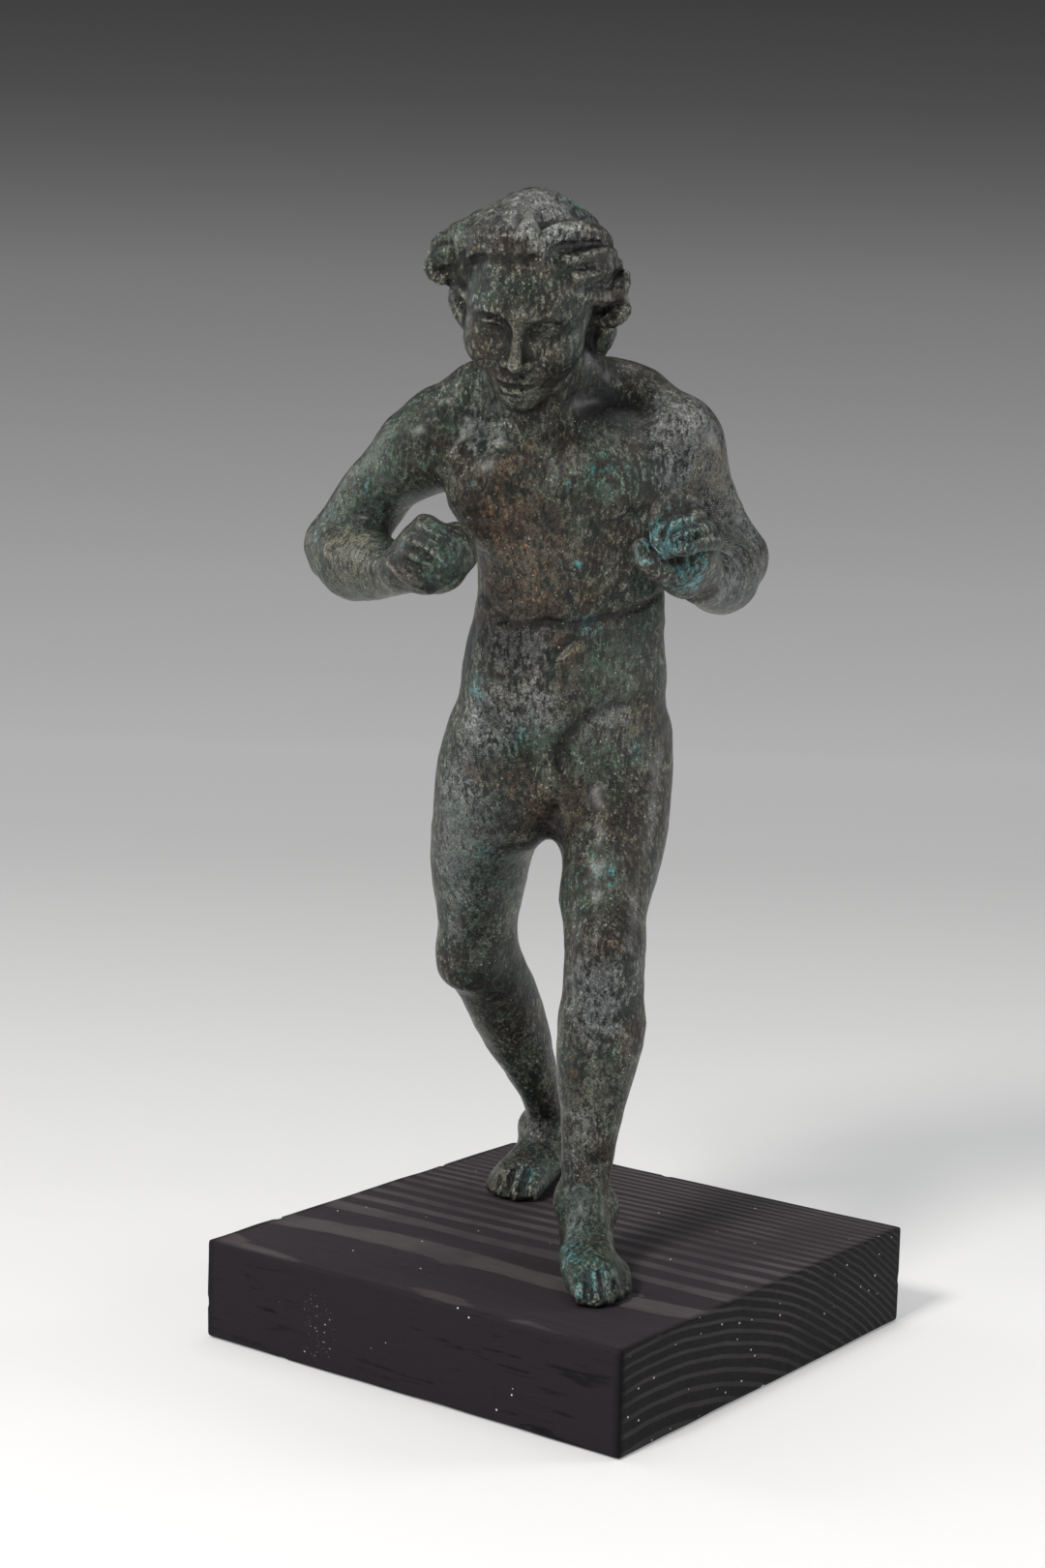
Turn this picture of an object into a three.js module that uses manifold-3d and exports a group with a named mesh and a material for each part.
// Bronze figurine of a striding youth with raised fists, on a square block of dark wood.
// Millimetres, +Z up. The origin is the centre of the block's underside, and the block's
// edges run along X and Y.
//
// The figure is modelled in a frame of its own: x towards its left hand, -y the way it
// strides, z up from its soles. That frame is turned on the block by figureTurn.
// Its forms are limbs round straight bones, rounded swellings and tapering strands. Forms
// that belong together flow into each other, and a closed skin of triangles is drawn on
// them. Each row of a limb gives the place along its bone (0 to 1), then the half-widths
// towards the figure's left, its right, the limb's front and its back, and how far the
// section is shifted to the left.
import * as THREE from 'three';
import { mergeVertices } from 'three/addons/utils/BufferGeometryUtils.js';
import Module from 'manifold-3d';

const wasm = await Module();
wasm.setup();

const blockSide = 101;
const blockHeight = 20;
const blockEdge = 0.6;
const figureTurn = THREE.MathUtils.degToRad(37);
const soleGap = 0.3;

const headCentre = [-10.4, -20, 185.6];
const headBow = THREE.MathUtils.degToRad(30);
const headTurn = THREE.MathUtils.degToRad(-13);
const headRoll = THREE.MathUtils.degToRad(7);

const limbBlend = 6;
const strandBlend = 0.8;
const courseSteps = 10;
const foldFade = 2.2;
const webReach = 2.5;

const towardsViewer = [0, -1, 0];
const upwards = [0, 0, 1];

const limbs = {
  torso: {
    from: [-3, 6, 84], to: [-8, -8, 164], front: towardsViewer,
    caps: [6, 5], power: 2.3,
    rows: [
      [0.00, 18.0, 19.0, 12.0, 13.0, 0.5],
      [0.14, 20.6, 21.6, 12.6, 15.4, 0.4],
      [0.30, 20.2, 20.2, 12.8, 13.5, 1.6],
      [0.43, 19.8, 19.6, 12.4, 12.0, 2.6],
      [0.53, 19.4, 19.2, 12.4, 11.5, 3.6],
      [0.62, 19.6, 19.2, 13.8, 11.6, 3.6],
      [0.76, 22.0, 20.0, 14.6, 12.4, 2.4],
      [0.88, 23.6, 21.0, 12.6, 13.4, 1.4],
      [0.97, 19.0, 19.0, 7.4, 13.0, 0.5],
    ],
  },
  neck: {
    from: [-8, -4.5, 160], to: [-10, -15, 176], front: towardsViewer,
    caps: [4, 5], power: 2,
    rows: [
      [0.00, 13.0, 12.0, 9.0, 9.0, 0],
      [0.35, 9.8, 9.8, 8.8, 9.0, 0],
      [1.00, 9.2, 9.2, 9.0, 9.0, 0],
    ],
  },
  leftThigh: {
    from: [8.8, 5, 96], to: [6.7, -18, 61], front: towardsViewer,
    caps: [9, 8], power: 2,
    rows: [
      [-0.10, 10.6, 11.8, 11.0, 13.0, 0],
      [0.15, 11.2, 12.0, 12.0, 13.5, 0],
      [0.40, 11.0, 11.4, 12.0, 12.8, 0],
      [0.58, 9.6, 10.4, 11.2, 11.4, 0],
      [0.73, 8.2, 9.8, 10.0, 9.6, 0],
      [0.87, 7.4, 8.2, 8.6, 7.8, 0],
      [1.00, 6.2, 6.4, 7.0, 6.4, 0],
    ],
  },
  leftShank: {
    from: [6.9, -18, 61], to: [4, -20, 13], front: towardsViewer,
    caps: [8, 7], power: 2,
    rows: [
      [0.00, 6.6, 6.6, 6.4, 6.6, 0],
      [0.13, 8.0, 7.4, 7.0, 8.6, 0],
      [0.25, 9.0, 8.5, 7.6, 10.0, 0],
      [0.38, 8.6, 8.2, 7.4, 10.0, 0],
      [0.50, 7.7, 7.6, 6.8, 9.0, 0],
      [0.62, 6.7, 6.6, 6.2, 7.6, 0],
      [0.75, 5.8, 5.8, 5.6, 6.2, 0],
      [0.87, 5.0, 5.1, 5.0, 5.4, 0],
      [1.00, 4.7, 4.8, 5.0, 5.0, 0],
    ],
  },
  rightThigh: {
    from: [-13.2, 4, 95.3], to: [-19.3, 19, 53.5], front: [-0.45, -1, 0],
    caps: [9, 6], power: 2,
    rows: [
      [-0.10, 11.0, 12.6, 11.0, 13.0, 0],
      [0.15, 10.8, 13.8, 12.4, 13.4, 0],
      [0.40, 9.0, 13.2, 12.2, 12.2, 0],
      [0.65, 7.6, 11.2, 10.6, 10.0, 0],
      [0.85, 7.8, 8.2, 9.2, 8.0, 0],
      [1.00, 7.0, 6.0, 7.4, 6.4, 0],
    ],
  },
  rightShank: {
    from: [-18.2, 19.5, 53.5], to: [-3.4, 42, 12], front: [-0.45, -1, 0],
    caps: [8, 7], power: 2,
    rows: [
      [0.00, 7.2, 6.6, 6.4, 6.6, 0],
      [0.12, 8.4, 7.3, 6.8, 8.6, 0],
      [0.28, 8.4, 7.4, 6.8, 9.4, 0.2],
      [0.45, 7.4, 6.8, 6.2, 8.6, 0.4],
      [0.65, 5.8, 5.2, 5.4, 6.6, 1.0],
      [0.85, 4.6, 4.5, 4.6, 5.2, 1.2],
      [1.00, 4.4, 4.4, 4.8, 5.0, 0.4],
    ],
  },
  leftFoot: {
    from: [4.2, -17.5, 5], to: [5.8, -39, 3.4], front: upwards,
    caps: [4.5, 3.5], power: 2.3,
    rows: [
      [0.00, 5.0, 5.0, 5.5, 6.0, 0],
      [0.25, 4.9, 4.9, 8.2, 6.0, 0],
      [0.50, 5.3, 5.3, 6.4, 5.0, 0],
      [0.80, 6.2, 6.2, 4.0, 4.0, 0],
      [1.00, 6.4, 6.2, 3.0, 4.0, 0],
    ],
  },
  rightFoot: {
    from: [-0.8, 48.5, 5], to: [-8.6, 30, 3.4], front: upwards,
    caps: [4.5, 3.5], power: 2.3,
    rows: [
      [0.00, 5.0, 5.0, 6.0, 6.0, 0],
      [0.28, 4.9, 4.9, 8.6, 6.0, 0],
      [0.52, 5.4, 5.4, 6.6, 5.0, 0],
      [0.80, 6.4, 6.6, 4.2, 4.0, 0],
      [1.00, 6.6, 6.8, 3.1, 4.0, 0],
    ],
  },
  rightUpperArm: {
    from: [-29.5, -4, 158.5], to: [-47.8, 9, 138.6], front: [0.2, -1, 0.2],
    caps: [8, 5], power: 2,
    rows: [
      [-0.05, 7.0, 7.2, 8.4, 8.6, 0],
      [0.20, 5.2, 8.0, 8.2, 8.2, 0],
      [0.45, 5.5, 8.7, 7.0, 7.0, 0],
      [0.60, 6.0, 8.3, 6.4, 6.4, 0],
      [0.80, 5.2, 7.4, 6.0, 6.0, 0],
      [1.00, 4.8, 6.2, 5.4, 5.6, 0],
    ],
  },
  rightForearm: {
    from: [-48, 8, 137.2], to: [-34, -18.5, 134.2], front: upwards,
    caps: [5.5, 4], power: 2,
    rows: [
      [0.00, 5.6, 6.6, 5.6, 7.2, 0],
      [0.25, 6.8, 7.8, 6.4, 9.2, 0],
      [0.55, 6.2, 6.2, 6.0, 7.9, 0],
      [0.85, 5.0, 5.2, 4.6, 5.8, 0],
      [1.00, 4.6, 4.6, 4.2, 4.4, 0],
    ],
  },
  leftUpperArm: {
    from: [17, -3, 160], to: [30.8, 8, 138.6], front: [0, -1, 0.3],
    caps: [8, 7], power: 2,
    rows: [
      [-0.05, 7.6, 8.4, 9.0, 9.0, 0],
      [0.20, 7.8, 8.0, 8.6, 8.8, 0],
      [0.45, 7.2, 7.2, 7.6, 7.6, 0],
      [0.75, 6.4, 6.2, 6.4, 6.4, 0],
      [1.00, 5.6, 5.6, 5.6, 5.8, 0],
    ],
  },
  leftForearm: {
    from: [31.4, 8, 136.6], to: [22.8, -19.5, 134.6], front: upwards,
    caps: [7, 4], power: 2,
    rows: [
      [0.00, 6.0, 6.0, 5.6, 7.2, 0],
      [0.25, 7.2, 7.0, 6.4, 9.4, 0],
      [0.55, 6.4, 6.3, 6.0, 8.8, 0],
      [0.85, 5.0, 4.8, 4.6, 6.8, 0],
      [1.00, 4.6, 4.6, 4.2, 5.6, 0],
    ],
  },
  rightPalm: {
    from: [-34, -19.5, 135.2], to: [-24.5, -27.5, 139.2], front: [0.3, -0.6, 0.7],
    caps: [3, 3.5], power: 2.3,
    rows: [
      [0.00, 4.8, 4.8, 4.0, 4.6, 0],
      [0.45, 6.0, 6.4, 4.6, 4.6, 0],
      [1.00, 5.6, 6.4, 4.2, 4.0, 0],
    ],
  },
  leftPalm: {
    from: [22.4, -20, 135.4], to: [19, -29.5, 138.6], front: [-0.5, -0.6, 0.6],
    caps: [3, 3.5], power: 2.3,
    rows: [
      [0.00, 4.8, 4.8, 4.0, 4.6, 0],
      [0.45, 6.0, 6.0, 4.6, 5.0, 0],
      [1.00, 6.2, 6.2, 4.4, 5.0, 0],
    ],
  },
};

// muscles and soft forms that stand out from the limbs: centre, the three radii, and the width
// over which they flow into the rest
const swellings = {
  rightBreast: { at: [-16.4, -12.5, 150], radii: [10.6, 6, 9.5], blend: 6 },
  leftBreast: { at: [4, -12.5, 151.5], radii: [12, 6, 9.5], blend: 6 },
  belly: { at: [-1.6, -2.8, 112.5], radii: [15.5, 9.4, 13], blend: 8 },
  groin: { at: [-3.6, -6.2, 93.5], radii: [4.6, 4.6, 5.4], blend: 5 },
  rightSeat: { at: [-12.5, 15, 92], radii: [12, 10, 13], blend: 5 },
  leftSeat: { at: [6.5, 14, 94], radii: [12, 10, 13], blend: 5 },
  rightShoulder: { at: [-32, -3.5, 156.5], radii: [7.6, 8.6, 8.6], blend: 5 },
  leftShoulder: { at: [19.6, -3.5, 159.4], radii: [8, 8.8, 9], blend: 5 },
  rightNape: { at: [-19, -1, 166.3], radii: [12, 8, 5], blend: 7 },
  leftNape: { at: [3.4, -0.5, 170.9], radii: [12, 8, 5.5], blend: 7 },
  rightCollar: { at: [-20.5, -5, 169.5], radii: [5.5, 6, 5.2], blend: 4 },
  leftKneecap: { at: [6.6, -23.8, 61.5], radii: [4.8, 3, 5.8], blend: 5 },
  rightKneecap: { at: [-21.3, 13.4, 53.2], radii: [4.8, 3.2, 5.4], blend: 5 },
  leftInnerAnkle: { at: [-0.2, -19.6, 12.6], radii: [2.2, 2.8, 3], blend: 3 },
  leftOuterAnkle: { at: [8.6, -18.6, 11.2], radii: [2.2, 2.6, 3], blend: 3 },
  rightInnerAnkle: { at: [1.6, 44.2, 12.6], radii: [2.2, 2.8, 3], blend: 3 },
  rightOuterAnkle: { at: [-6.8, 42.8, 11.2], radii: [2.2, 2.6, 3], blend: 3 },
};

// folds sunk into the trunk along a course, one of them the narrow top of the gap between the
// thighs, and the rim of the ribs raised above another
const folds = [
  { course: [[-18.5, -11, 130.5], [-11, -17.6, 126.6], [-2, -19.4, 125.2], [7, -17, 126.4],
    [14.5, -9.5, 130], [17.5, -2, 133]], width: 1.8, depth: 1.5 },
  { course: [[-15, -14.5, 132], [-8, -18, 129.5], [0, -19, 128.8], [8, -16.5, 130], [14, -11, 133]],
    width: 2.6, depth: -0.9 },
  { course: [[-6.5, -20, 158], [-6, -20.5, 150], [-5, -20.5, 141], [-3.6, -20, 133]],
    width: 2.2, depth: 0.8 },
  { course: [[-27, -9.5, 147.5], [-20, -16.5, 142.4], [-12, -19.4, 141.6], [-6.6, -19.6, 143.6]],
    width: 2, depth: 0.8 },
  { course: [[-4.6, -19.6, 143.8], [1.5, -19, 142.4], [9, -16.5, 143.6], [16, -9.5, 148.5]],
    width: 2, depth: 0.8 },
  { course: [[-19, -6, 108.5], [-13, -10.5, 104.5], [-8.5, -11.5, 100.2], [-6.3, -10.5, 97]],
    width: 2.2, depth: 1 },
  { course: [[13, -7.5, 111.5], [6.5, -11.5, 108.4], [0.5, -12.2, 103.5], [-3.2, -11, 98.6]],
    width: 2.2, depth: 1 },
  { course: [[-4.4, -16, 119.4], [-2.6, -15.8, 120.4], [-0.8, -15.6, 121.6]], width: 2, depth: 1.6 },
  { course: [[-7.5, 4.5, 160], [-6, 9.5, 146], [-3, 12.5, 130], [-2, 15, 114], [-2.4, 19, 104]],
    width: 2.6, depth: 1.4 },
  { course: [[-4.4, -8, 79.5], [-4.4, 4, 79.5], [-4.4, 16, 79.5]], width: 3, depth: 3 },
  { course: [[-2.6, 19.5, 104], [-3, 23.5, 96], [-3.2, 23, 88], [-3.4, 18, 82]], width: 2.2, depth: 2.6 },
];

// toes from the great toe outwards: the root, the bend and the tip, each x, y, z, radius
const leftToes = [
  [[1.4, -36.5, 3, 3], [2.4, -41.5, 2.9, 2.6], [3, -45, 2.2, 2.3]],
  [[4.6, -38, 3, 2.4], [5.1, -43.4, 3, 2.1], [5.4, -46.3, 1.8, 1.7]],
  [[7, -37.5, 2.8, 2.2], [7.6, -42.2, 2.7, 1.9], [7.9, -44.8, 1.6, 1.6]],
  [[9, -36, 2.6, 2.1], [9.7, -40.3, 2.4, 1.8], [10, -42.6, 1.5, 1.5]],
  [[10.4, -33.8, 2.4, 2], [11.1, -37.4, 2.1, 1.7], [11.4, -39.8, 1.4, 1.4]],
];
const rightToes = [
  [[-4, 29.5, 3, 3.1], [-5.4, 24.7, 2.9, 2.7], [-6.4, 22.6, 2.2, 2.3]],
  [[-7.4, 29.5, 2.9, 2.4], [-8.6, 24.4, 2.9, 2.1], [-9.3, 22.4, 1.8, 1.7]],
  [[-9.8, 30, 2.7, 2.2], [-11.2, 26, 2.6, 1.9], [-11.9, 24.1, 1.6, 1.6]],
  [[-11.8, 31.2, 2.5, 2.1], [-13.1, 27.8, 2.3, 1.8], [-13.7, 26, 1.5, 1.5]],
  [[-12.8, 33.4, 2.3, 2], [-14.1, 30.4, 2, 1.7], [-14.8, 28.6, 1.4, 1.4]],
];

// the right fist: one curled finger, and the step from each finger to the next
const rightFinger = [
  [-35, -24, 136.4, 1.9], [-33.2, -29.5, 136, 2], [-28.4, -31, 134.4, 1.9], [-26, -27.6, 134.2, 1.8],
];
const rightFingerStep = [2.4, -0.3, 2.9];
const rightThumb = [
  [-28.5, -21, 133.4, 3], [-23.6, -25.4, 135.4, 2.8], [-21.6, -28.2, 139.2, 2.2],
];

// the left fist: its fingers fan out, so each has its own course
const leftFingers = [
  [[18.4, -28, 147.6, 2], [18, -33, 149, 2], [13.2, -36, 147.2, 2.1], [12.4, -34.2, 142.6, 1.9]],
  [[20.8, -28.5, 145, 2], [20.2, -34, 146.2, 2], [15.2, -37.6, 144.2, 2], [13, -35.4, 139.6, 1.8]],
  [[23.2, -28.5, 142.4, 2], [22.6, -34.6, 143.6, 2], [17, -38.4, 141.6, 2], [14, -35.8, 137.8, 1.8]],
  [[24, -28, 139.8, 1.9], [23.6, -34, 141, 1.9], [18.2, -37.8, 139, 1.9], [15, -35, 136.2, 1.7]],
];
const leftThumb = [
  [19, -25, 133, 3], [14.4, -29.5, 136, 2.6], [10.6, -32.4, 139.6, 2.3], [9.7, -33, 141.2, 2],
];

// the head in its own frame, from a point between the ears: x left, -y the face, z the crown
const face = {
  from: [0, -3, 4], to: [0, -5.5, -13], front: towardsViewer,
  caps: [5, 3.4], power: 2.2,
  rows: [
    [0.00, 11.4, 11.4, 9.0, 9.0, 0],
    [0.30, 11.2, 11.2, 8.6, 9.0, 0],
    [0.50, 10.8, 10.8, 8.6, 8.0, 0],
    [0.75, 9.0, 9.0, 8.4, 7.0, 0],
    [0.92, 6.6, 6.6, 7.6, 6.0, 0],
    [1.00, 5.0, 5.0, 6.6, 5.0, 0],
  ],
};
const headForms = [
  { at: [0, 1.5, 3.5], radii: [12, 14.5, 13] },
  { at: [-1.6, 4.8, 5.6], radii: [13.4, 14.2, 13.4] },
  { at: [0.5, 9, -5.5], radii: [11.8, 8.5, 10] },
  { at: [0, -9.6, -10.6], radii: [5.2, 4, 4] },
  { at: [0, -10.6, -14.6], radii: [3.8, 3, 2.9] },
];
const nose = [[0, -12.2, 2.4, 1.3], [0, -13.6, -2.5, 1.4], [0, -14.8, -5.8, 1.9]];
const browHalf = [[1.2, -12.2, 2.8, 1.2], [4.9, -12, 3.5, 1.1], [8.8, -9, 2.4, 0.9]];
const lipHalf = [[0, -13.5, -9.9, 1], [1.6, -13.2, -10, 0.9], [4.2, -11.9, -10.6, 0.5]];
const lowerLipHalf = [[0, -13.3, -12.1, 1], [1.8, -12.9, -11.9, 0.9], [3.6, -12, -11.2, 0.5]];
const cheek = { at: [6.6, -8.4, -5], radii: [4.2, 4, 4.4], blend: 3 };
const eyeball = { at: [4.8, -9.8, -0.2], radii: [2.9, 2.5, 1.9], blend: 1 };
const headBlend = 3;

// large locks laid one by one: the curls and fringe on the right, the swept locks on the left
const laidLocks = [
  [[-8, 1, 14.6, 2.3], [-13, -1, 12, 2.7], [-17, 1.8, 8.8, 2.3], [-18.9, 3.8, 10, 1.3]],
  [[-11, -2, 9.8, 2.4], [-15, -2, 6.4, 2.7], [-18.2, 0, 3.2, 2.2], [-19.6, 1.4, 4.8, 1.2]],
  [[-12.2, 1, 5, 2.6], [-13.6, 1, 0, 2.7], [-13.2, 2, -5, 2.2], [-12.2, 2.6, -8.6, 1.1]],
  [[-8.6, 3, 14.8, 2.3], [-11.6, -3, 12.6, 2.6], [-12.2, -6.2, 10.2, 2.2], [-13.4, -6.6, 8, 1.1]],
  [[-6.2, 1, 16.3, 2.1], [-8, -5.5, 14.6, 2.6], [-8.8, -8.8, 12.4, 2.3], [-10.2, -9.6, 10.2, 1.1]],
  [[-3.4, 1, 16.8, 2.1], [-4.6, -6.2, 15.4, 2.5], [-5.4, -9.8, 13.2, 2.3], [-6.8, -10.8, 11.2, 1.1]],
  [[-0.9, 1, 16.9, 1.9], [-1.8, -6.8, 15.6, 2.3], [-2.2, -10.2, 13.6, 2], [-3.4, -11.4, 11.6, 1]],
  [[1.6, -10.8, 11.8, 1.2], [2.6, -9.4, 14, 2.3], [5.2, -4.4, 15.6, 2.8], [8.6, 2.4, 14.2, 2.8],
    [11.4, 7.8, 12, 2.2], [13.2, 10.2, 11.4, 1]],
  [[4.6, -9.8, 11, 1.2], [6.6, -7.4, 12.4, 2.2], [9.8, -2, 11.4, 2.6], [12.4, 3.6, 9.4, 2.3],
    [14, 7.2, 8.8, 1.1]],
  [[7.4, -8.4, 9.2, 1.2], [9.8, -4.6, 9, 2.3], [12.4, 1, 6.8, 2.6], [14.4, 6.6, 5, 2.2],
    [15.6, 8.8, 6, 1.1]],
  [[10.4, -4, 5, 1.8], [12.8, 1.7, 3.2, 2.6], [14.8, 7, 0.4, 2.6], [16.2, 9.8, 2, 1.6]],
  [[11, -1, 0, 2], [12.8, 3.7, -3, 2.6], [14.4, 8, -6, 2.4], [15.8, 10.8, -4.8, 1.4]],
  [[11.2, 2, -4, 2.4], [12.4, 6.5, -8.2, 2.4], [13.4, 10.3, -11, 1.8], [14.2, 12.2, -9.9, 1]],
  [[-12.2, 3, 0, 2.7], [-12.9, 6, -6, 2.6], [-12.8, 9, -11, 1.8], [-13.8, 10.5, -12.6, 1]],
];

// rows of short locks round the back: height, how many, and the bearing where the row starts
const lockRows = [
  { height: 8.5, count: 8, bearing: 92 },
  { height: 3.5, count: 8, bearing: 86 },
  { height: -1.5, count: 8, bearing: 84 },
  { height: -7, count: 7, bearing: 80 },
];
const lockDrop = 7.1;
const hairCap = headForms[1];

// the core lines that the skins are sent out from
const headCore = {
  course: [[0, 0, -2], [0, 1, 5]], front: towardsViewer, reach: 28, sides: 44, rings: 8, capSteps: 11,
};
const girdleCore = {
  course: [[-31, -3.5, 158], [-19, -2, 162], [-8, -3, 164], [4, -2, 165], [18, -3.5, 160]],
  front: upwards, reach: 13, sides: 14, rings: 9, tuck: [0.5, 0.5],
};
const leftLegCore = {
  course: [limbs.leftThigh.from, limbs.leftThigh.to, [5.6, -19, 36], limbs.leftShank.to],
  front: towardsViewer, reach: 24, sides: 12, rings: 17, tuck: [0.5, 0.3],
};
const rightLegCore = {
  course: [limbs.rightThigh.from, limbs.rightThigh.to, [-11, 31, 32.5], limbs.rightShank.to],
  front: limbs.rightThigh.front, reach: 24, sides: 12, rings: 17, tuck: [0.5, 0.3],
};
const leftFootCore = {
  course: [[4.2, -17, 4], [6, -42, 2.4]], front: upwards, reach: 14, sides: 16, rings: 10,
};
const rightFootCore = {
  course: [[-0.8, 48.5, 4], [-9.6, 27, 2.4]], front: upwards, reach: 14, sides: 16, rings: 10,
};
const leftFistCore = {
  course: [[21, -25, 137], [17.4, -31, 142.4]], front: towardsViewer, reach: 16, sides: 18, rings: 3,
  capSteps: 6,
};
const rightFistCore = {
  course: [[-32, -23.5, 136.8], [-27, -26.5, 140]], front: towardsViewer, reach: 15, sides: 18, rings: 3,
  capSteps: 6,
};
const skinSteps = 16;
const skinPace = 0.8;
const leastRadius = 1;

const bronze = new THREE.MeshStandardMaterial({ color: 0x3b4038, roughness: 0.55, metalness: 0.7 });
const stainedWood = new THREE.MeshStandardMaterial({ color: 0x1d191c, roughness: 0.6, metalness: 0 });

// the values of a table's rows at a place along it, carried smoothly through every row
function rowAt(rows, place) {
  const last = rows.length - 1;
  const clamped = Math.min(Math.max(place, rows[0][0]), rows[last][0]);
  let index = 0;
  while (index < last - 1 && clamped > rows[index + 1][0]) {
    index += 1;
  }
  const slope = (at, column) => {
    const before = rows[Math.max(at - 1, 0)];
    const after = rows[Math.min(at + 1, last)];
    return (after[column] - before[column]) / (after[0] - before[0]);
  };
  const start = rows[index];
  const end = rows[index + 1];
  const span = end[0] - start[0];
  const s = (clamped - start[0]) / span;
  return start.map((value, column) => {
    const rise = end[column] - value;
    const startSlope = slope(index, column) * span;
    const endSlope = slope(index + 1, column) * span;
    const bend = (startSlope - rise) * (1 - s) - (endSlope - rise) * s;
    return value + rise * s + s * (1 - s) * bend;
  });
}

// distance from a point to the surface of a limb, less than nothing inside
function limbForm({ from, to, front, caps, power, rows, blend = limbBlend }) {
  const start = new THREE.Vector3(...from);
  const bone = new THREE.Vector3(...to).sub(start);
  const length = bone.length();
  const along = bone.clone().normalize();
  const forward = new THREE.Vector3(...front).projectOnPlane(along).normalize();
  const side = new THREE.Vector3().crossVectors(along, forward);
  side.multiplyScalar(Math.sign(side.x));
  const offset = new THREE.Vector3();
  const distance = (point) => {
    offset.copy(point).sub(start);
    const height = offset.dot(along);
    const place = height / length;
    const [nearest, left, right, ahead, behind, shift] = rowAt(rows, place);
    const beyond = (place - nearest) * length;
    const sideways = offset.dot(side) - shift;
    const depth = offset.dot(forward);
    const across = Math.abs(sideways) / (sideways > 0 ? left : right);
    const deep = Math.abs(depth) / (depth > 0 ? ahead : behind);
    const section = (across ** power + deep ** power) ** (1 / power);
    const share = Math.hypot(section, beyond / (beyond < 0 ? caps[0] : caps[1])) + 1e-6;
    return Math.hypot(sideways, depth, beyond) * (1 - 1 / share);
  };
  return { distance, blend };
}

function swellingForm({ at, radii, blend }) {
  const distance = ({ x, y, z }) => {
    const offsets = [x - at[0], y - at[1], z - at[2]];
    const share = Math.hypot(...offsets.map((offset, axis) => offset / radii[axis]));
    const steepness = Math.hypot(...offsets.map((offset, axis) => offset / radii[axis] ** 2));
    return share * (share - 1) / (steepness + 1e-6);
  };
  return { distance, blend };
}

// short straight links along a smooth course through points of x, y, z and a radius
function courseLinks(points) {
  const table = points.map((point, index) => [index / (points.length - 1), ...point]);
  const beads = [];
  for (let step = 0; step <= courseSteps; step += 1) {
    const [place, x, y, z, radius] = rowAt(table, step / courseSteps);
    beads.push({ place, at: new THREE.Vector3(x, y, z), radius });
  }
  return beads.slice(1).map((end, index) => {
    const start = beads[index];
    return { start, end, line: new THREE.Line3(start.at, end.at) };
  });
}

// a tapering round strand along a course: a finger, a toe, a lock
function strandForm(points) {
  const links = courseLinks(points);
  const nearest = new THREE.Vector3();
  const distance = (point) => {
    let least = Infinity;
    links.forEach(({ start, end, line }) => {
      const share = line.closestPointToPointParameter(point, true);
      const radius = start.radius + (end.radius - start.radius) * share;
      least = Math.min(least, line.at(share, nearest).distanceTo(point) - radius);
    });
    return least;
  };
  return { distance, blend: strandBlend };
}

// how far a fold pushes the surface in, fading out from its course and at its ends
function foldForm({ course, width, depth }) {
  const links = courseLinks(course);
  const nearest = new THREE.Vector3();
  const sink = (point) => {
    let least = Infinity;
    let place = 0;
    links.forEach(({ start, line }) => {
      const share = line.closestPointToPointParameter(point, true);
      const gap = line.at(share, nearest).distanceTo(point);
      if (gap < least) {
        least = gap;
        place = start.place + share / links.length;
      }
    });
    const fade = Math.min(Math.sin(Math.PI * place) * foldFade, 1);
    return depth * Math.exp(-((least / width) ** 2)) * fade;
  };
  return { sink };
}

// the forms flowing into each other over the width of each one's blend, then their folds
function distanceTo(forms, point) {
  let whole = Infinity;
  forms.forEach(({ distance, blend, sink }) => {
    if (sink) {
      whole += sink(point);
      return;
    }
    const own = distance(point);
    const overlap = Math.max(blend - Math.abs(whole - own), 0) / blend;
    whole = Math.min(whole, own) - overlap * overlap * blend / 4;
  });
  return whole;
}

// a closed tube of radius 1: height -1 to 0 is one round end, 0 to 1 the tube, 1 to 2 the other
function unitTube(sides, rings, capSteps) {
  const profile = [];
  for (let step = 0; step < capSteps; step += 1) {
    const angle = (step / capSteps) * Math.PI / 2;
    profile.push(new THREE.Vector2(Math.sin(angle), -Math.cos(angle)));
  }
  for (let ring = 0; ring <= rings; ring += 1) {
    profile.push(new THREE.Vector2(1, ring / rings));
  }
  for (let step = capSteps - 1; step >= 0; step -= 1) {
    const angle = (step / capSteps) * Math.PI / 2;
    profile.push(new THREE.Vector2(Math.sin(angle), 1 + Math.cos(angle)));
  }
  return new THREE.LatheGeometry(profile, sides);
}

// moves a radius along a ray until it meets the forms' surface, and no further out than a limit
function settle(forms, origin, direction, radius, limit) {
  let settled = radius;
  for (let step = 0; step < skinSteps; step += 1) {
    const gap = distanceTo(forms, origin.clone().addScaledVector(direction, settled));
    settled = THREE.MathUtils.clamp(settled - gap * skinPace, leastRadius, limit);
  }
  return settled;
}

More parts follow.
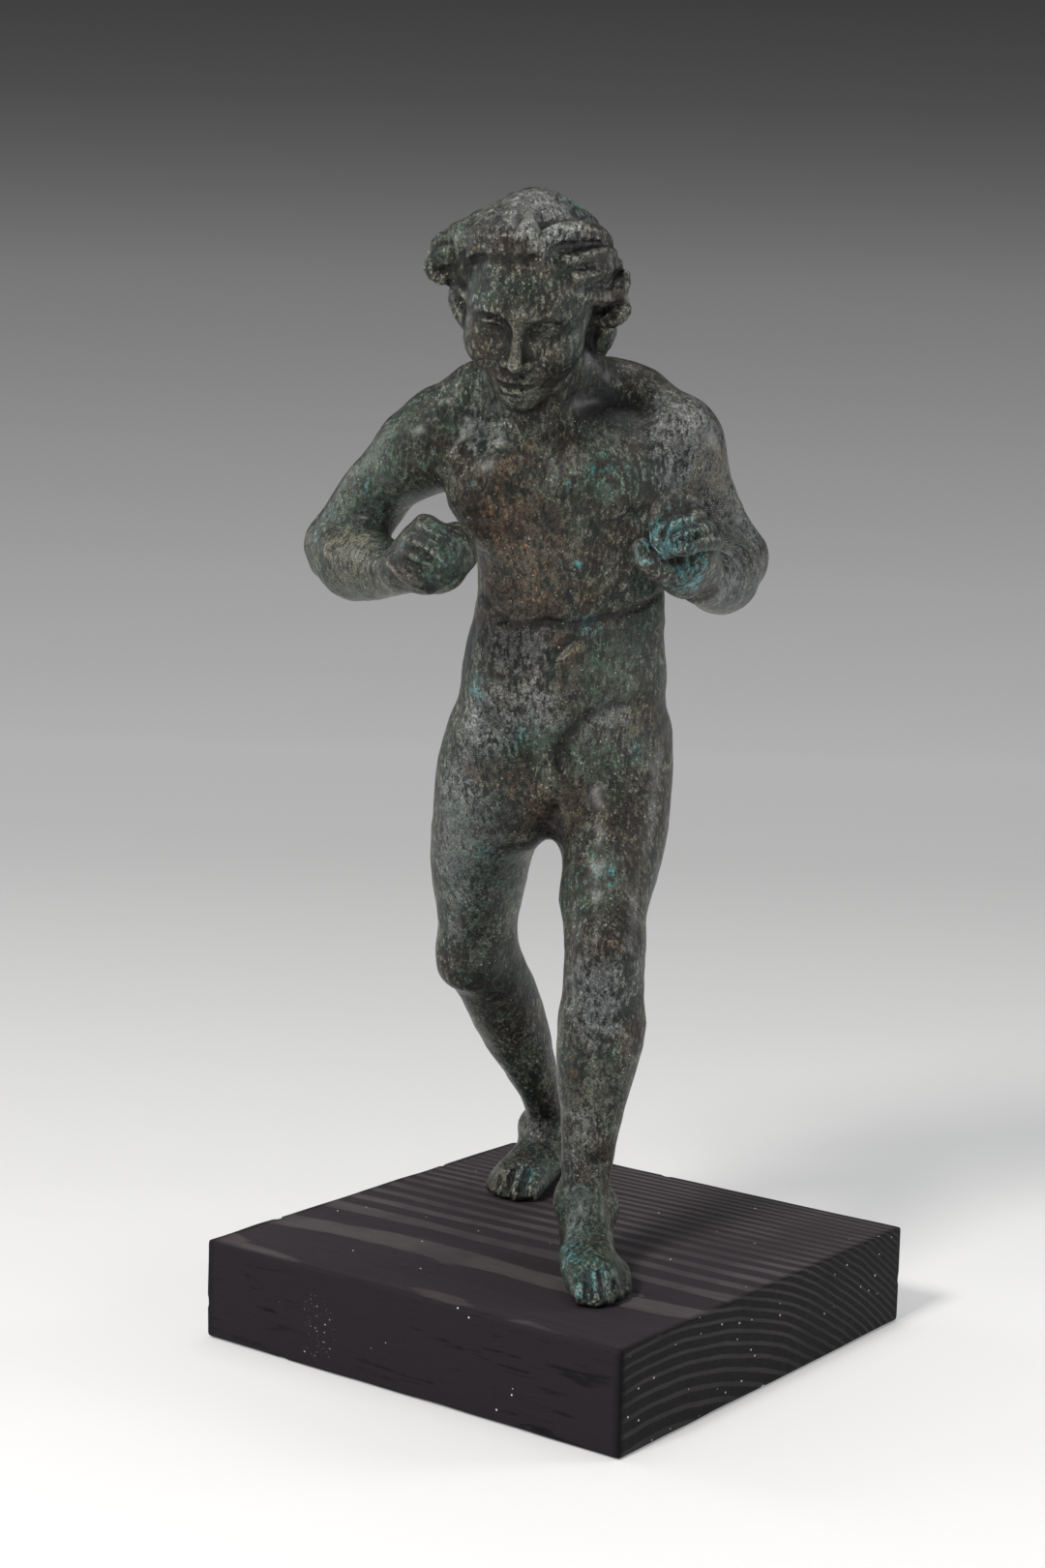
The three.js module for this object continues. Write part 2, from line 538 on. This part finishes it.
// A tube's points are sent out from a core line, and each stops at the outer surface of the
// forms. Where these flow into the rest of the body the points follow for up to webReach, so
// they stay hidden where they lie deeper inside it. A tucked end shrinks towards its pole,
// where the next skin covers it.
function makeSkin(forms, size, body = []) {
  const { course, front, reach, sides, rings, capSteps = 3, tuck = [0, 0] } = size;
  const core = new THREE.CatmullRomCurve3(course.map((point) => new THREE.Vector3(...point)));
  const geometry = unitTube(sides, rings, capSteps);
  const position = geometry.getAttribute('position');
  for (let index = 0; index < position.count; index += 1) {
    const height = position.getY(index);
    const lift = Math.min(height, 0) + Math.max(height - 1, 0);
    const place = THREE.MathUtils.clamp(height, 0, 1);
    const origin = core.getPointAt(place);
    const along = core.getTangentAt(place);
    const forward = new THREE.Vector3(...front).projectOnPlane(along).normalize();
    const side = new THREE.Vector3().crossVectors(along, forward);
    const direction = new THREE.Vector3()
      .addScaledVector(side, position.getX(index))
      .addScaledVector(forward, position.getZ(index))
      .addScaledVector(along, lift)
      .normalize();
    let radius = leastRadius;
    let limit = reach;
    if (forms.length > 0) {
      radius = settle(forms, origin, direction, reach, reach);
      limit = radius + webReach;
    }
    if (body.length > 0) {
      radius = settle(body, origin, direction, radius, limit);
    }
    radius *= 1 - Math.abs(lift) * (lift < 0 ? tuck[0] : tuck[1]);
    position.setXYZ(index, ...origin.addScaledVector(direction, radius).toArray());
  }
  return geometry;
}

const mirrorPoint = ([x, ...rest]) => [-x, ...rest];
const mirrorForm = ({ at, ...rest }) => ({ at: mirrorPoint(at), ...rest });

// a point off the hair's surface at a bearing from the face, turning to the figure's left
function onHair(bearing, height, proud) {
  const [x, y, z] = hairCap.at;
  const [rx, ry, rz] = hairCap.radii;
  const share = height > -1.5 ? Math.sqrt(1 - ((height - z) / rz) ** 2) : 0.82 + (height + 1.5) * 0.016;
  return [
    x + Math.sin(bearing) * (rx * share + proud),
    y - Math.cos(bearing) * (ry * share + proud),
    height,
  ];
}

// a short lock on the back of the head that hangs down and flicks to one side
function backLock(bearing, height, flick) {
  return [
    [...onHair(bearing, height + 2.2, -0.6), 1.9],
    [...onHair(bearing + flick * 0.4, height - 0.6, 0.9), 2.2],
    [...onHair(bearing + flick, height + 2.2 - lockDrop * 0.82, 1.5), 1.8],
    [...onHair(bearing + flick * 2.2, height + 2.2 - lockDrop, 2.4), 0.9],
  ];
}

function backLocks() {
  return lockRows.flatMap(({ height, count, bearing }, row) => Array.from({ length: count }, (_, index) => {
    const share = (index + 0.3 * ((row + 1) % 2)) / (count - 0.7);
    const at = THREE.MathUtils.degToRad(bearing + (360 - 2 * bearing) * share);
    return backLock(at, height, (index + row) % 2 === 0 ? 0.16 : -0.12);
  }));
}

function makeHead() {
  const wholeBands = [browHalf, lipHalf, lowerLipHalf].map((half) => {
    const otherHalf = half.map(mirrorPoint).reverse();
    return half[0][0] === 0 ? [...otherHalf.slice(0, -1), ...half] : [...otherHalf, ...half];
  });
  const forms = [
    limbForm(face),
    ...headForms.map((form) => swellingForm({ ...form, blend: headBlend })),
    ...[cheek, mirrorForm(cheek), eyeball, mirrorForm(eyeball)].map(swellingForm),
    ...[nose, ...wholeBands, ...laidLocks, ...backLocks()].map(strandForm),
  ];
  return makeSkin(forms, headCore);
}

function rightFingers() {
  return [0, 1, 2, 3].map((finger) => rightFinger.map(([x, y, z, radius], joint) => {
    const spread = finger * (joint < 2 ? 1 : 0.9);
    const [dx, dy, dz] = rightFingerStep;
    return [x + dx * spread, y + dy * spread, z + dz * spread, radius];
  }));
}

function limbSkin(name, size, body, ...more) {
  const { from, to, front } = limbs[name];
  return makeSkin([limbForm(limbs[name]), ...more], { course: [from, to], front, ...size }, body);
}

// a closed geometry as a solid that can be joined and cut
function toSolid(geometry) {
  const bare = geometry.clone();
  bare.deleteAttribute('normal');
  bare.deleteAttribute('uv');
  const merged = mergeVertices(bare, 1e-4);
  const index = merged.getIndex().array;
  const triangles = [];
  for (let at = 0; at < index.length; at += 3) {
    const [a, b, c] = index.subarray(at, at + 3);
    if (a !== b && b !== c && c !== a) {
      triangles.push(a, b, c);
    }
  }
  return new wasm.Manifold(new wasm.Mesh({
    numProp: 3,
    vertProperties: new Float32Array(merged.getAttribute('position').array),
    triVerts: new Uint32Array(triangles),
  }));
}

function toGeometry(solid) {
  const { vertProperties, triVerts } = solid.getMesh();
  const geometry = new THREE.BufferGeometry();
  geometry.setAttribute('position', new THREE.BufferAttribute(vertProperties, 3));
  geometry.setIndex(new THREE.BufferAttribute(triVerts, 1));
  geometry.computeVertexNormals();
  return geometry;
}

function makeFigure() {
  const headPlace = new THREE.Matrix4()
    .makeRotationFromEuler(new THREE.Euler(headBow, headRoll, headTurn, 'ZXY'))
    .setPosition(...headCentre);
  const toes = [...leftToes, ...rightToes].map(strandForm);
  const leftFist = [limbForm(limbs.leftPalm), ...[...leftFingers, leftThumb].map(strandForm)];
  const rightFist = [limbForm(limbs.rightPalm), ...[...rightFingers(), rightThumb].map(strandForm)];
  const swelling = (name) => swellingForm(swellings[name]);
  const body = [
    ...Object.values(limbs).map(limbForm),
    ...Object.values(swellings).map(swellingForm),
    ...folds.map(foldForm),
  ];
  const leftLeg = [limbForm(limbs.leftThigh), limbForm(limbs.leftShank), swelling('leftKneecap')];
  const rightLeg = [limbForm(limbs.rightThigh), limbForm(limbs.rightShank), swelling('rightKneecap')];
  const trunk = ['rightBreast', 'leftBreast', 'belly', 'groin', 'rightSeat', 'leftSeat'].map(swelling);
  const skins = [
    limbSkin('torso', { reach: 40, sides: 28, rings: 18, tuck: [0, 0.5] }, body, ...trunk),
    limbSkin('neck', { reach: 20, sides: 12, rings: 3, tuck: [0.5, 0.5] }, body),
    makeSkin(leftLeg, leftLegCore, body),
    makeSkin(rightLeg, rightLegCore, body),
    limbSkin('leftUpperArm', { reach: 20, sides: 12, rings: 6 }, body, swelling('leftShoulder')),
    limbSkin('rightUpperArm', { reach: 20, sides: 12, rings: 6 }, body, swelling('rightShoulder')),
    limbSkin('leftForearm', { reach: 16, sides: 12, rings: 6, tuck: [0, 0.5] }, body),
    limbSkin('rightForearm', { reach: 16, sides: 12, rings: 6, tuck: [0, 0.5] }, body),
    makeSkin([], girdleCore, body),
    makeSkin([limbForm(limbs.leftFoot), ...toes], leftFootCore, [...body, ...toes]),
    makeSkin([limbForm(limbs.rightFoot), ...toes], rightFootCore, [...body, ...toes]),
    makeSkin(leftFist, leftFistCore, [...body, ...leftFist]),
    makeSkin(rightFist, rightFistCore, [...body, ...rightFist]),
    makeHead().applyMatrix4(headPlace),
  ];
  const joined = skins.map(toSolid).reduce((whole, form) => whole.add(form));
  const underSoles = new THREE.BoxGeometry(2 * blockSide, 2 * blockSide, blockHeight)
    .translate(0, 0, soleGap - blockHeight / 2);
  const cast = joined.subtract(toSolid(underSoles));
  const mesh = new THREE.Mesh(toGeometry(cast), bronze);
  mesh.name = 'bronze_figure';
  return mesh;
}

function makeBlock() {
  const half = blockSide / 2 - blockEdge;
  const outline = new THREE.Shape([
    new THREE.Vector2(-half, -half),
    new THREE.Vector2(half, -half),
    new THREE.Vector2(half, half),
    new THREE.Vector2(-half, half),
  ]);
  const geometry = new THREE.ExtrudeGeometry(outline, {
    depth: blockHeight - 2 * blockEdge,
    bevelThickness: blockEdge,
    bevelSize: blockEdge,
    bevelSegments: 2,
  }).translate(0, 0, blockEdge);
  const mesh = new THREE.Mesh(geometry, stainedWood);
  mesh.name = 'wooden_base';
  return mesh;
}

const figure = new THREE.Group();
figure.rotation.z = figureTurn;
figure.position.z = blockHeight;
figure.add(makeFigure());

const figurine = new THREE.Group();
figurine.add(makeBlock(), figure);

export default figurine;
